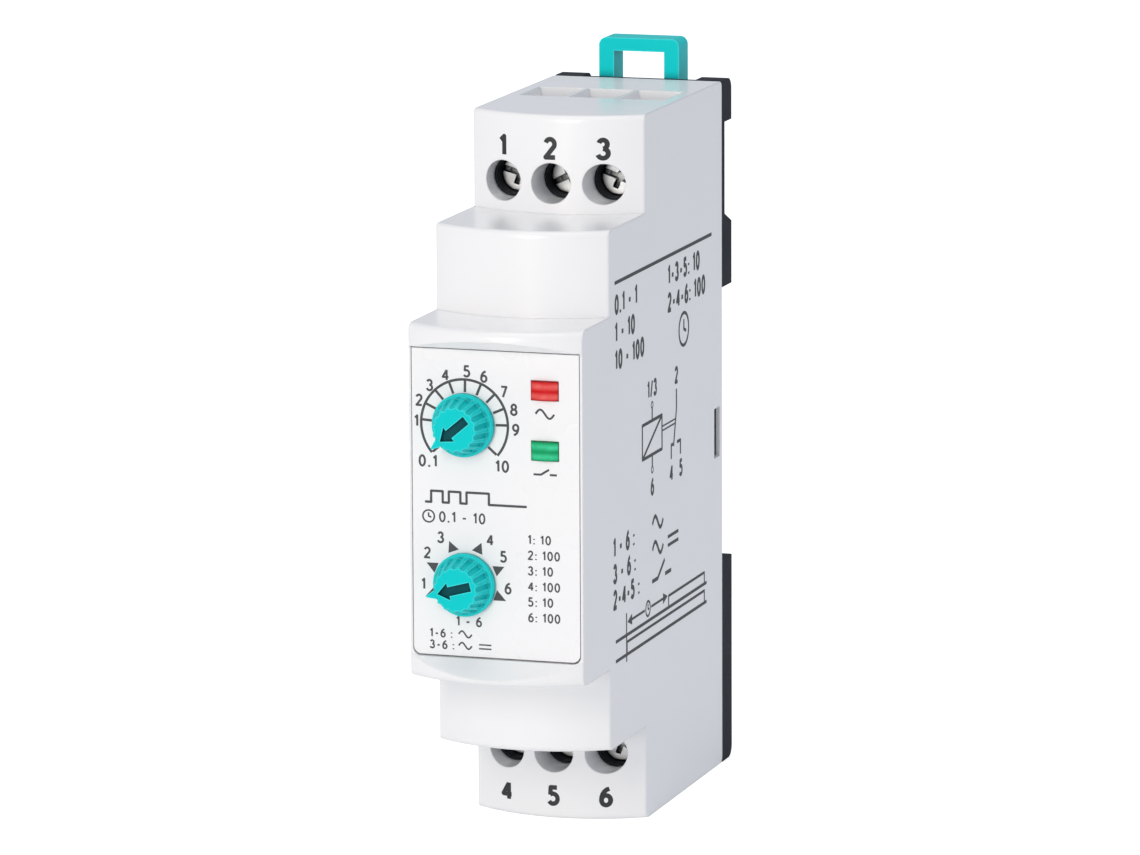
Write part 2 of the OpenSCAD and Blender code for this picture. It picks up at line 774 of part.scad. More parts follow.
module relay_cover() {
    wall = 0.7;
    color("#3D6FA5") on_relay() difference() {
        block([1.65, -relay_w / 2, -relay_l / 2], [relay_h, relay_w / 2, relay_l / 2]);
        block([0, wall - relay_w / 2, wall - relay_l / 2],
              [relay_h - wall, relay_w / 2 - wall, relay_l / 2 - wall]);
    }
}

module relay_bobbin() {
    color("#E9E6DC") on_relay() translate([core_u, 0, 0]) difference() {
        union() {
            translate([0, 0, -9.9]) cylinder(r = core_r + 0.5, h = 16.4);
            for (z = [-9.9, 5.5]) translate([0, 0, z]) cylinder(r = 3.7, h = 1);
        }
        translate([0, 0, -12]) cylinder(r = core_r + run_gap, h = 24);
    }
}

module relay_coil() {
    color(copper) on_relay() translate([core_u, 0, -8.85]) difference() {
        cylinder(r = 3.5, h = 14.3);
        translate([0, 0, -cut]) cylinder(r = core_r + 0.53, h = 14.3 + 2 * cut);
    }
}

module relay_core() {
    color(steel) on_relay() translate([core_u, 0, -10]) cylinder(r = core_r, h = 10 + core_end);
}

module relay_yoke() {
    color(steel) on_relay() union() {
        block([1.7, -3.5, end_plate], [arm_u + arm_t, 3.5, end_plate + 1.45]);
        block([arm_u, -3.5, end_plate], [arm_u + arm_t, 3.5, core_end + 0.4]);
    }
}

// Armature plate over the core, with the contact blade that it carries
module relay_armature() {
    low = armature_low;
    color(steel) on_relay() union() {
        block([2.6, -3.2, low], [arm_u + arm_t + 0.4, 3.2, low + 1]);
        block([arm_u, -1.5, low + 0.9], [blade_u + 0.2, 1.5, low + 1.2]);
        block([blade_u, -1.5, -6], [blade_u + 0.2, 1.5, low + 1.2]);
        translate([blade_u - 0.45, 0, contact_w]) rotate([0, 90, 0]) cylinder(r = contact_r, h = 1.1);
    }
}

// Two fixed contacts on bent strips, one on each side of the blade
module relay_contacts() {
    inner = blade_u - 1.5;
    outer = blade_u + 1.55 + blade_swing;
    color(copper) on_relay() {
        union() {
            block([1.65, -1.5, -13], [inner + 0.2, 1.5, -12.7]);
            block([inner, -1.5, -13], [inner + 0.2, 1.5, -3.6]);
            translate([inner + 0.1, 0, contact_w]) rotate([0, 90, 0]) cylinder(r = contact_r, h = 0.75);
        }
        union() {
            block([1.65, -1.5, -14], [outer + 0.2, 1.5, -13.7]);
            block([outer, -1.5, -14], [outer + 0.2, 1.5, -3.6]);
            translate([outer - 0.6, 0, contact_w]) rotate([0, 90, 0]) cylinder(r = contact_r, h = 0.7);
        }
    }
}

// ---------- other parts on the main board; X is up from the board ----------

module on_board(y, z) {
    translate([board_face + 0.05, y, z]) children();
}

module dropper_capacitor() {
    color("#C9A227") on_board(-27, 14) block([0, -3, -6.5], [11.5, 3, 6.5]);
}

module smoothing_capacitor() {
    color("#2B3F63") on_board(-27.5, -16) rotate([0, 90, 0]) cylinder(r = 4, h = 11.5);
}

module varistor() {
    color("#3F6FB0") on_board(-36, 18) block([0, -1.4, -1], [1, 1.4, 1]);
    color("#3F6FB0") on_board(-36, 18) translate([4.4, 0, 0]) rotate([90, 0, 0])
        cylinder(r = 3.6, h = 3, center = true);
}

module bridge_rectifier() {
    color("#26282B") on_board(-37, 6) block([0, -2.5, -4], [6.5, 2.5, 4]);
}

module resistors() {
    color("#D9BE94") for (i = [0 : 2]) on_board(-33.5 - 3.4 * i, -20) translate([1.25, 0, 0])
        cylinder(r = 1.15, h = 6.3, center = true);
}

module controller_chip() {
    color("#1F2124") on_board(-37, -8) block([0, -3, -5], [1.8, 3, 5]);
}

shell();
front_plate();
time_knob();
range_knob();
power_lens();
output_lens();
rear_base();
rail_slider();
slider_spring();
terminal_block_top();
terminal_block_bottom();
terminal_screw_1();
terminal_screw_2();
terminal_screw_3();
terminal_screw_4();
terminal_screw_5();
terminal_screw_6();
wire_cage_1();
wire_cage_2();
wire_cage_3();
wire_cage_4();
wire_cage_5();
wire_cage_6();
busbar_1();
busbar_2();
busbar_3();
busbar_4();
busbar_5();
busbar_6();
main_board();
front_board();
board_link();
time_pot_body();
time_pot_rotor();
range_switch_body();
range_switch_rotor();
power_led();
output_led();
relay_base();
relay_cover();
relay_bobbin();
relay_coil();
relay_core();
relay_yoke();
relay_armature();
relay_contacts();
dropper_capacitor();
smoothing_capacitor();
varistor();
bridge_rectifier();
resistors();
controller_chip();
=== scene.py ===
# %% [markdown]
# # A rail-mounted timing relay
# This lesson dresses a finished CAD model. The CAD model already holds every solid piece, so
# Blender adds what CAD can't: the printed scales, the finish of each material, the light and
# the camera. Everything is in metres and in the CAD model's own frame: X runs to the right,
# Y runs from the front of the module to the rail, and Z is up.

import json
import math

import bpy
from mathutils import Matrix, Vector
from mathutils.bvhtree import BVHTree
from mathutils.geometry import delaunay_2d_cdt, intersect_point_tri_2d


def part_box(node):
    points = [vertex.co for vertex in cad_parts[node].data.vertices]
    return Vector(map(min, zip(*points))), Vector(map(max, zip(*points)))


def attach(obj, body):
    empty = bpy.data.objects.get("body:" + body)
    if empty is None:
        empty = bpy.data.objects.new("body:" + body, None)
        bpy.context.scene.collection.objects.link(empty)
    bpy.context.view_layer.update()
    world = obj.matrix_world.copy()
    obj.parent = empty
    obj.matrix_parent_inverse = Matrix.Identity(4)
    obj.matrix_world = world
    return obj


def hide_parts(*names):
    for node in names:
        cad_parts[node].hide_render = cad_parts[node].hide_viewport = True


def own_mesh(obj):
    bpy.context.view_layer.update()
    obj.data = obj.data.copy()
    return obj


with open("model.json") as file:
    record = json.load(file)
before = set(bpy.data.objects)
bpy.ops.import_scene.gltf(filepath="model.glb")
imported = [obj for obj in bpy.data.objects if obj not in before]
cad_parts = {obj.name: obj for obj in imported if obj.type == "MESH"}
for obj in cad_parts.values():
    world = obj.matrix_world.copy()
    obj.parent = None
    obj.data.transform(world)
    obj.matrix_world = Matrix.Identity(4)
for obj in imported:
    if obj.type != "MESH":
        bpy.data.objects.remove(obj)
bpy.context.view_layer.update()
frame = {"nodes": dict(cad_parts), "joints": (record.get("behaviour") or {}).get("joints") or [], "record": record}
mm = 0.001
scene = bpy.context.scene
nodes = frame["nodes"]

# %% [markdown]
# ## Places that the prints and finishes refer to
# The two knobs turn about axes that the model states, so the scales are drawn round those
# axes. Reading them from the model is better than repeating numbers: if a knob moves in CAD,
# its scale moves with it.

# %% Knob axes and faces
joints = {j["name"]: j for j in frame["joints"]}
time_axis = Vector(joints["time_knob_turn"]["pos_m"])
step_axis = Vector(joints["range_knob_turn"]["pos_m"])
label_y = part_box("front_plate")[0].y
shell_low, shell_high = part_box("shell")
front_origin = Vector((0, label_y, 0))
side_origin = Vector((shell_high.x, 0, 0))
# centres of the three terminals of a row, and of the lenses, in millimetres across
terminal_x = [sum(c.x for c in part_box(f"terminal_screw_{n}")) / 2 / mm for n in (1, 2, 3)]
lens_x = sum(c.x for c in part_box("power_lens")) / 2 / mm
print("label plane at", round(label_y / mm, 2), "mm; knobs at", time_axis, step_axis)

# %% [markdown]
# ## Camera
# The module is seen from a little to its right and a little above, from far away through a
# long lens, so its upright edges stay nearly parallel. The three directions of a camera can
# be worked out from two angles: how far it has gone round the object and how high it stands.
# A small roll turns the camera about its own line of sight, as a tripod that isn't quite
# level would.

# %% Place the camera
azimuth, elevation, roll = math.radians(17.8), math.radians(10.24), math.radians(-0.27)
target = Vector((-1.49, -25.0, 3.25)) * mm
distance = 938.75 * mm

back = Vector((math.sin(azimuth) * math.cos(elevation),
               -math.cos(azimuth) * math.cos(elevation),
               math.sin(elevation)))
level = Vector((math.cos(azimuth), math.sin(azimuth), 0))
upright = back.cross(level)
right = level * math.cos(roll) + upright * math.sin(roll)
up = upright * math.cos(roll) - level * math.sin(roll)

camera = bpy.data.objects.new("camera", bpy.data.cameras.new("camera"))
scene.collection.objects.link(camera)
camera.data.lens = 232.8
camera.data.sensor_width = 36
camera.data.clip_start, camera.data.clip_end = 0.01, 20
camera.matrix_world = Matrix((
    (right.x, up.x, back.x, 0),
    (right.y, up.y, back.y, 0),
    (right.z, up.z, back.z, 0),
    (0, 0, 0, 1),
))
camera.location = target + back * distance
scene.camera = camera
print("camera", round(distance / mm), "mm away with a", camera.data.lens, "mm lens")

# %% [markdown]
# ## One function for nodes, one for colours
# A material is a small network of nodes. Every node is added in the same way: its kind, its
# own settings, and what goes into its sockets, which is either a value or another node's
# output. Colours are written as the hex values that a colour picker shows, and are turned to
# the linear light that the renderer works in. Two masks are used again and again: one along
# edges, where a lighter colour is painted in as a highlight, and one in hollows, where a
# darker colour is painted in as shade.

# %% Helpers for materials
def linear(hex_colour):
    """A linear RGBA colour from an sRGB hex value."""
    parts = [int(hex_colour[i:i + 2], 16) / 255 for i in (1, 3, 5)]
    return [c / 12.92 if c <= 0.04045 else ((c + 0.055) / 1.055) ** 2.4 for c in parts] + [1.0]


def add(tree, kind, settings=None, **sockets):
    """Adds a node of a kind; a socket takes a value, or (node, output name).

    Sockets that share one name are given by their number, as i0, i1 and so on."""
    node = tree.nodes.new(kind)
    for name, value in (settings or {}).items():
        setattr(node, name, value)
    for key, value in sockets.items():
        where = int(key[1:]) if key[0] == "i" and key[1:].isdigit() else key.replace("_", " ")
        socket = node.inputs[where]
        if isinstance(value, tuple) and isinstance(value[0], bpy.types.Node):
            tree.links.new(value[0].outputs[value[1]], socket)
        else:
            socket.default_value = value
    return node


def start_material(name):
    """A new empty material, with its tree and the object's own coordinates."""
    made = bpy.data.materials.new(name)
    made.use_nodes = True
    tree = made.node_tree
    tree.nodes.clear()
    place = add(tree, "ShaderNodeTexCoord")
    return made, tree, (place, "Object")


def per(size_mm):
    """Noise scale that gives features of a size in millimetres."""
    return 1 / (size_mm * mm)


def edge_mask(tree, radius_mm, starts, full, strength):
    """A Bevel node that rounds edges in the shading, and a mask that is strong along them.

    The mask starts where the rounded and the true normal agree no better than starts (the
    cosine of the angle between them), and is at its full strength at full."""
    rounded = add(tree, "ShaderNodeBevel", {"samples": 6}, Radius=radius_mm * mm)
    flat = add(tree, "ShaderNodeNewGeometry")
    agree = add(tree, "ShaderNodeVectorMath", {"operation": "DOT_PRODUCT"},
                i0=(rounded, "Normal"), i1=(flat, "Normal"))
    mask = add(tree, "ShaderNodeMapRange", Value=(agree, "Value"),
               From_Min=starts, From_Max=full, To_Min=0.0, To_Max=strength)
    return rounded, mask


def hollow_mask(tree, reach_mm, closed, opened):
    """A mask that is 1 in slots and flutes: ambient occlusion below closed, 0 above opened."""
    sky = add(tree, "ShaderNodeAmbientOcclusion", {"samples": 8}, Distance=reach_mm * mm)
    return add(tree, "ShaderNodeMapRange", Value=(sky, "AO"),
               From_Min=closed, From_Max=opened, To_Min=1.0, To_Max=0.0)


def blend(tree, mask, below, above):
    """A colour that goes from below to above as the mask, (node, output), goes from 0 to 1."""
    return add(tree, "ShaderNodeMix", {"data_type": "RGBA"}, Factor=mask, i6=below, i7=above)


print("white as linear light:", [round(c, 3) for c in linear("#F4F5F7")])

# %% [markdown]
# ## Moulded plastics
# Every plastic piece here is injection moulded. Steel moulds are spark eroded or blasted, and
# the plastic copies that fine grain, which breaks up its highlights. Corners are never quite
# sharp: the mould leaves a radius of a few tenths of a millimetre, which catches a thin line
# of light, and that line is also painted in as a lighter edge colour, a painted highlight. In
# the knobs' flutes a darker colour is painted in as shade. One recipe covers all of them,
# with its own colour, gloss, grain and edge for each, and two sizes of noise vary the colour
# and the gloss.

# %% A recipe for moulded plastic
def moulded(name, colour, shade, edge_colour, gloss, grain_mm, grain, edge_mm=0.12, edge=0.5,
            coat=0.0, shine=0.3, crease=None, rounded=True):
    """Moulded plastic: colour drifts to shade; edge_colour is a painted highlight, crease a painted shade."""
    melt_mm, gloss_drift, grain_depth = 9, 0.03, 0.01 * mm
    made, tree, place = start_material(name)
    # slow drift of the colour and the gloss, as the melt flowed
    drift = add(tree, "ShaderNodeTexNoise", Vector=place, Scale=per(melt_mm), Detail=3.0)
    # grain of the mould's surface; the real one is finer and is drawn as coarse as it shows
    fine = add(tree, "ShaderNodeTexNoise", Vector=place, Scale=per(grain_mm), Detail=2.0)
    round_edge, on_edge = edge_mask(tree, edge_mm, 0.995, 0.86, edge)
    body = blend(tree, (drift, "Fac"), linear(colour), linear(shade))
    if crease:
        # painted shade: at the bottom of flutes, where ambient occlusion is low, the colour turns to crease
        hollow = hollow_mask(tree, 1.5, 0.35, 0.9)
        body = blend(tree, (hollow, "Result"), (body, "Result"), linear(crease))
    # painted highlight: along edges the colour turns to the lighter edge_colour
    edge_highlighted = blend(tree, (on_edge, "Result"), (body, "Result"), linear(edge_colour))
    dull = add(tree, "ShaderNodeMapRange", Value=(drift, "Fac"), From_Min=0.3, From_Max=0.7,
               To_Min=gloss - gloss_drift, To_Max=gloss + gloss_drift)
    bump = add(tree, "ShaderNodeBump", Strength=grain, Distance=grain_depth,
               Height=(fine, "Fac"))
    if rounded:
        tree.links.new(round_edge.outputs["Normal"], bump.inputs["Normal"])
    skin = add(tree, "ShaderNodeBsdfPrincipled", Base_Color=(edge_highlighted, "Result"),
               Roughness=(dull, "Result"), Normal=(bump, "Normal"), IOR=1.53)
    skin.inputs["Specular IOR Level"].default_value = shine
    skin.inputs["Coat Weight"].default_value = coat
    skin.inputs["Coat Roughness"].default_value = 0.08
    add(tree, "ShaderNodeOutputMaterial", Surface=(skin, "BSDF"))
    return made


# ABS, moulded in a finely eroded mould: soft white with a broad, gentle highlight
white_abs = moulded("ABS_moulded_white", "#F5F5F6", "#F1F2F4", "#FBFBFC", 0.24, 0.22, 0.12,
                    edge_mm=0.3, shine=0.5)
# ABS plate, moulded in a polished mould and printed: a little smoother and whiter
label_abs = moulded("ABS_moulded_label", "#F6F6F7", "#F3F3F5", "#FBFBFC", 0.28, 0.30, 0.1,
                    shine=0.5)
# polyamide, moulded: strong teal, with pale cyan painted along edges as a highlight and darker teal painted in
# flutes as shade
teal_pa = moulded("polyamide_moulded_teal", "#00D4D4", "#00CACB", "#66FAF8", 0.42, 0.20, 0.15,
                  edge_mm=0.3, edge=0.55, shine=0.1, crease="#009198", rounded=False)
# glass filled polyamide, moulded: near black and dull, with a paler colour painted along edges as a highlight
black_pa = moulded("polyamide_glass_filled_black", "#2A2E35", "#23272D", "#454C55", 0.62, 0.25,
                   0.6, edge=0.6, shine=0.08)
# epoxy moulding of chips and rectifiers: black and flat
black_epoxy = moulded("epoxy_moulded_black", "#202225", "#26282B", "#3A3C3F", 0.55, 0.3, 0.6)
# polyester parts, coated or moulded in blue
blue_pbt = moulded("polyester_moulded_blue", "#2B5C9C", "#244F88", "#4E7DB8", 0.35, 0.3, 0.3)
# unfilled polyester of bobbins and rotors: warm cream
cream_pbt = moulded("polyester_moulded_cream", "#E6E1D3", "#DCD6C6", "#F2EEE4", 0.42, 0.3, 0.3)
# dipped film capacitor: amber resin with a wet, uneven gloss
amber_resin = moulded("epoxy_dipped_amber", "#C79A28", "#A97D1C", "#DDB548", 0.22, 1.2, 1.0,
                      coat=0.4)
# diffused epoxy of the light emitting diodes: milky
milky_epoxy = moulded("epoxy_diffused_milky", "#E4DED6", "#D8D2C9", "#F2EEE9", 0.25, 0.4, 0.2)
print("plastics:", white_abs.name, label_abs.name, teal_pa.name, black_pa.name)

# %% [markdown]
# ## Knobs with a painted arrow
# The knobs are the same teal polyamide, but the arrow sunk into each one is painted dark. The
# paint could be a separate piece, yet on the real knob it only fills the recess, so a mask in
# the material is closer: it picks the points that are near the knob's axis and lie deeper
# than its rim.

# %% Paint the arrow recess
def paint_arrow(source, name, axis, knob):
    """A copy of a plastic whose surface near the axis and behind the rim is dark paint."""
    arrow_reach, below_rim = 2.55 * mm, 0.12 * mm
    made = source.copy()
    made.name = name
    tree = made.node_tree
    skin = next(n for n in tree.nodes if n.type == "BSDF_PRINCIPLED")
    plastic = skin.inputs["Base Color"].links[0].from_socket
    place = next(n for n in tree.nodes if n.type == "TEX_COORD")
    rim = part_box(knob)[0].y
    off_axis = add(tree, "ShaderNodeVectorMath", {"operation": "SUBTRACT"},
                   i0=(place, "Object"), i1=(axis.x, 0, axis.z))
    flat = add(tree, "ShaderNodeVectorMath", {"operation": "MULTIPLY"},
               i0=(off_axis, "Vector"), i1=(1, 0, 1))
    radius = add(tree, "ShaderNodeVectorMath", {"operation": "LENGTH"}, i0=(flat, "Vector"))
    near = add(tree, "ShaderNodeMath", {"operation": "LESS_THAN"},
               i0=(radius, "Value"), i1=arrow_reach)
    parts = add(tree, "ShaderNodeSeparateXYZ", Vector=(place, "Object"))
    deep = add(tree, "ShaderNodeMath", {"operation": "GREATER_THAN"},
               i0=(parts, "Y"), i1=rim + below_rim)
    painted = add(tree, "ShaderNodeMath", {"operation": "MULTIPLY"},
                  i0=(near, "Value"), i1=(deep, "Value"))
    blotch = add(tree, "ShaderNodeTexNoise", Vector=(place, "Object"), Scale=per(0.8))
    paint = blend(tree, (blotch, "Fac"), linear("#00484F"), linear("#005F66"))
    both = add(tree, "ShaderNodeMix", {"data_type": "RGBA"}, Factor=(painted, "Value"),
               i7=(paint, "Result"))
    tree.links.new(plastic, both.inputs[6])
    tree.links.new(both.outputs["Result"], skin.inputs["Base Color"])
    return made


time_teal = paint_arrow(teal_pa, "polyamide_teal_time_arrow", time_axis, "time_knob")
step_teal = paint_arrow(teal_pa, "polyamide_teal_step_arrow", step_axis, "range_knob")
print("arrow paint:", time_teal.name, step_teal.name)

# %% [markdown]
# ## Lenses
# The two lenses are clear coloured polycarbonate over a diode that is off, so they look deep
# and saturated, with a sharp gloss. Fine ribs inside run across them and show as level bands.
# Real refraction through so small a block mostly shows noise, so the depth is only a change
# of colour under a glossy skin, and the ribs are a wave that is both bump and colour: lighter
# bands painted in as highlights. A darker colour along the rim is painted shade.

# %% Coloured polycarbonate
def polycarbonate(name, deep, bright, rim):
    """Clear coloured polycarbonate with level ribs, painted highlight bands and a painted shade along its rim."""
    rib_mm, first_rib = 1.25, 4.4
    made, tree, place = start_material(name)
    # a wave texture makes a band every 2 pi / 20 units of its scaled coordinate
    ribs = add(tree, "ShaderNodeTexWave", {"bands_direction": "Z", "wave_profile": "SIN"},
               Vector=place, Scale=per(rib_mm) * math.pi / 10, Phase_Offset=first_rib)
    cloud = add(tree, "ShaderNodeTexNoise", Vector=place, Scale=per(1.5))
    mixed = add(tree, "ShaderNodeMath", {"operation": "MULTIPLY"},
                i0=(ribs, "Fac"), i1=(cloud, "Fac"))
    # painted highlight: lighter bands of the bright colour where the ribs and the cloud are high
    highlight_bands = blend(tree, (mixed, "Value"), linear(deep), linear(bright))
    # painted shade: the darker rim colour along the lens's edges
    _, on_edge = edge_mask(tree, 0.3, 0.99, 0.86, 1.0)
    rim_shaded = blend(tree, (on_edge, "Result"), (highlight_bands, "Result"), linear(rim))
    bump = add(tree, "ShaderNodeBump", Strength=0.25, Distance=0.03 * mm, Height=(ribs, "Fac"))
    skin = add(tree, "ShaderNodeBsdfPrincipled", Base_Color=(rim_shaded, "Result"), Roughness=0.2,
               Normal=(bump, "Normal"), IOR=1.585)
    skin.inputs["Specular IOR Level"].default_value = 0.12
    skin.inputs["Coat Weight"].default_value = 0.06
    skin.inputs["Coat Roughness"].default_value = 0.05
    add(tree, "ShaderNodeOutputMaterial", Surface=(skin, "BSDF"))
    return made


red_pc = polycarbonate("polycarbonate_red", "#D00C14", "#FF827C", "#7C060C")
green_pc = polycarbonate("polycarbonate_green", "#009C5E", "#4FEDB4", "#02583A")
print("lenses:", red_pc.name, green_pc.name)

# %% [markdown]
# ## Metals
# The clamps and screws are steel with bright zinc plating, the bars are copper with tin on
# them, and the relay's iron is nickel plated. A metal shows almost no colour of its own; what
# the eye reads is how its fine marks stretch the highlights. Screw heads are turned and
# stamped, so noise that is squeezed in one direction gives them streaks.

# %% Plated and drawn metal
def plated(name, colour, shade, gloss, streak_mm, streak):
    """Plated metal with streaks; colour drifts to shade, with painted shade in slots and a painted highlight along
    edges.
    """
    made, tree, place = start_material(name)
    squeeze = add(tree, "ShaderNodeMapping", Vector=place, Scale=(1, 0.12, 0.35))
    marks = add(tree, "ShaderNodeTexNoise", Vector=(squeeze, "Vector"), Scale=per(streak_mm),
                Detail=4.0)
    cloud = add(tree, "ShaderNodeTexNoise", Vector=place, Scale=per(1.6), Detail=2.0)
    tone = blend(tree, (cloud, "Fac"), linear(colour), linear(shade))
    rough = add(tree, "ShaderNodeMapRange", Value=(marks, "Fac"), From_Min=0.3, From_Max=0.7,
                To_Min=gloss - 0.06, To_Max=gloss + 0.1)
    # painted shade darkens the colour at the bottom of a slot; a painted highlight lightens it along edges
    hollow = hollow_mask(tree, 1.2, 0.25, 0.75)
    slots = blend(tree, (hollow, "Result"), (tone, "Result"), linear("#2E3236"))
    round_edge, on_edge = edge_mask(tree, 0.14, 0.99, 0.78, 0.8)
    edge_glinted = blend(tree, (on_edge, "Result"), (slots, "Result"), linear("#F4F6F7"))
    bump = add(tree, "ShaderNodeBump", Strength=streak, Distance=0.01 * mm,
               Height=(marks, "Fac"), Normal=(round_edge, "Normal"))
    skin = add(tree, "ShaderNodeBsdfPrincipled", Base_Color=(edge_glinted, "Result"),
               Roughness=(rough, "Result"), Normal=(bump, "Normal"))
    skin.inputs["Metallic"].default_value = 1.0
    add(tree, "ShaderNodeOutputMaterial", Surface=(skin, "BSDF"))
    return made


zinc_steel = plated("steel_zinc_plated", "#E2E5E8", "#CDD2D6", 0.34, 0.3, 0.08)
tinned_bar = plated("copper_tin_plated", "#D9C8B4", "#C2A588", 0.33, 0.4, 0.3)
nickel_iron = plated("iron_nickel_plated", "#C9CACB", "#A9ABAD", 0.3, 0.4, 0.3)
copper_coil = plated("copper_wire_enamelled", "#C9713C", "#A9552A", 0.25, 0.15, 1.0)
print("metals:", zinc_steel.name, tinned_bar.name, nickel_iron.name, copper_coil.name)

# %% [markdown]
# ## Circuit board
# The boards are glass epoxy laminate under a green solder mask. Copper tracks lie under the
# mask and show as slightly lighter bands with square turns. A brick pattern gives those bands
# without drawing each track.

# %% Laminate with solder mask
def solder_mask(name):
    """Green solder mask with paler tracks under it."""
    made, tree, place = start_material(name)
    turn = add(tree, "ShaderNodeMapping", Vector=place, Rotation=(math.radians(90), 0, 0))
    tracks = add(tree, "ShaderNodeTexBrick", {"offset": 0.37}, Vector=(turn, "Vector"),
                 Color1=linear("#14593A"), Color2=linear("#17663F"), Mortar=linear("#2C8558"),
                 Scale=per(6), Mortar_Size=0.03)
    weave = add(tree, "ShaderNodeTexNoise", Vector=place, Scale=per(0.5))
    bump = add(tree, "ShaderNodeBump", Strength=0.3, Distance=0.02 * mm, Height=(tracks, "Fac"))
    rough = add(tree, "ShaderNodeMapRange", Value=(weave, "Fac"), To_Min=0.22, To_Max=0.36)
    skin = add(tree, "ShaderNodeBsdfPrincipled", Base_Color=(tracks, "Color"),
               Roughness=(rough, "Result"), Normal=(bump, "Normal"), IOR=1.55)
    add(tree, "ShaderNodeOutputMaterial", Surface=(skin, "BSDF"))
    return made


board_green = solder_mask("laminate_solder_mask_green")
print("board:", board_green.name)

# %% [markdown]
# ## Give every CAD node its finish
# Each node already carries the name of its material slot in the record. A table from slot to
# finish covers all of them, and the two knobs then get their own copies with the arrow.

# %% Hand out the finishes
finishes = {
    "housing_plastic": white_abs, "label_plastic": label_abs, "teal_plastic": teal_pa,
    "red_lens": red_pc, "green_lens": green_pc, "black_plastic": black_pa,
    "plated_steel": zinc_steel, "tinned_copper": tinned_bar, "board_laminate": board_green,
    "component_black": black_epoxy, "component_blue": blue_pbt, "component_cream": cream_pbt,
    "component_amber": amber_resin, "led_epoxy": milky_epoxy, "copper_wire": copper_coil,
    "soft_iron": nickel_iron,
}
own_finish = {"time_knob": time_teal, "range_knob": step_teal}
slot_of = {p["node"]: p["material_slot"] for p in frame["record"]["subparts"]}
for name, piece in nodes.items():
    finish = own_finish.get(name, finishes[slot_of[name]])
    piece.data.materials.clear()
    piece.data.materials.append(finish)
print("finished", len(nodes), "nodes in", len(set(slot_of.values())), "slots")

# %% [markdown]
# ## The rail foot's spring
# A coil spring in the slot of the sliding foot pushes it down onto the rail. The CAD model
# holds it as a plain coil that can't shorten. Here it is wound again as a string of small
# rings joined along a helix.

# %% Wind the spring
spring_low, spring_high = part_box("slider_spring")
wire_r = 0.225 * mm
coil_r = (spring_high.x - spring_low.x) / 2 - wire_r
turns, rings_per_turn, sides = 7, 28, 10
flat_turns = 0.75                          # at each end, as they are ground on a real spring
middle = (spring_low + spring_high) / 2
rings = turns * rings_per_turn
points, faces = [], []
for i in range(rings + 1):
    angle = 2 * math.pi * i / rings_per_turn
    climb = (i / rings_per_turn - flat_turns) / (turns - 2 * flat_turns)
    share = min(1, max(0, climb))
    height = spring_low.z + wire_r + share * (spring_high.z - spring_low.z - 2 * wire_r)
    for j in range(sides):
        around_wire = 2 * math.pi * j / sides
        r = coil_r + wire_r * math.cos(around_wire)
        points.append((middle.x + r * math.cos(angle), middle.y + r * math.sin(angle),
                       height + wire_r * math.sin(around_wire)))
    if i:
        for j in range(sides):
            k = (j + 1) % sides
            row = i * sides
            faces.append((row - sides + j, row - sides + k, row + k, row + j))
faces += [tuple(range(sides)), tuple(reversed(range(rings * sides, (rings + 1) * sides)))]
coil = bpy.data.meshes.new("rail_foot_spring")
coil.from_pydata(points, [], [tuple(reversed(f)) for f in faces])
coil.shade_smooth()
coil.materials.append(zinc_steel)
spring = bpy.data.objects.new("rail_foot_spring", coil)
scene.collection.objects.link(spring)
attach(spring, "housing")
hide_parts("slider_spring")
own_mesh(spring)

# %% [markdown]
# ## Printing
# The scales are pad printed: a soft pad puts down dark grey ink about 0.02 mm thick, so it
# has real edges but hardly any height. Decals or painted textures would need images; thin
# closed solids of ink give crisp edges at any zoom and export as plain meshes. Each mark is
# drawn flat first, in millimetres across and up, and is then laid on the CAD surface by
# casting rays at it, so the ink follows the bowed faces too.

# %% Ink
def ink(name, colour, shade):
    """Pad-printing ink: matt, a little uneven where the pad lifted."""
    made, tree, place = start_material(name)
    uneven = add(tree, "ShaderNodeTexNoise", Vector=place, Scale=per(0.35), Detail=3.0)
    tone = blend(tree, (uneven, "Fac"), linear(colour), linear(shade))
    bump = add(tree, "ShaderNodeBump", Strength=0.2, Distance=0.01 * mm,
               Height=(uneven, "Fac"))
    skin = add(tree, "ShaderNodeBsdfPrincipled", Base_Color=(tone, "Result"), Roughness=0.5,
               Normal=(bump, "Normal"), IOR=1.48)
    add(tree, "ShaderNodeOutputMaterial", Surface=(skin, "BSDF"))
    return made


front_ink = ink("ink_pad_printed_grey", "#3F4144", "#4A4C50")
side_ink = ink("ink_pad_printed_dark", "#212427", "#2C2F33")
print("inks:", front_ink.name, side_ink.name)

# %% [markdown]
# ## Flat marks
# Three kinds of mark make every print here: strokes of even width, filled patches, and
# numerals. A stroke is a strip that is mitred where it bends gently. At a sharp corner a
# mitre would run to a long spike, so the strip stops there and a small disc of ink joins it
# to the next one, as a round pen would. A mark is a list of corner points and a list of
# faces, and marks may overlap.

# %% Strokes and patches
def together(marks):
    """Several marks as one."""
    corners, faces = [], []
    for points, polygons in marks:
        faces += [tuple(len(corners) + i for i in face) for face in polygons]
        corners += points
    return corners, faces


def cut_spans(points, longest=0.7):
    """More points along long spans, so that a strip can follow a bowed face."""
    out = [points[0]]
    for a, b in zip(points, points[1:]):
        parts = max(1, math.ceil((b - a).length / longest))
        out += [a.lerp(b, i / parts) for i in range(1, parts + 1)]
    return out


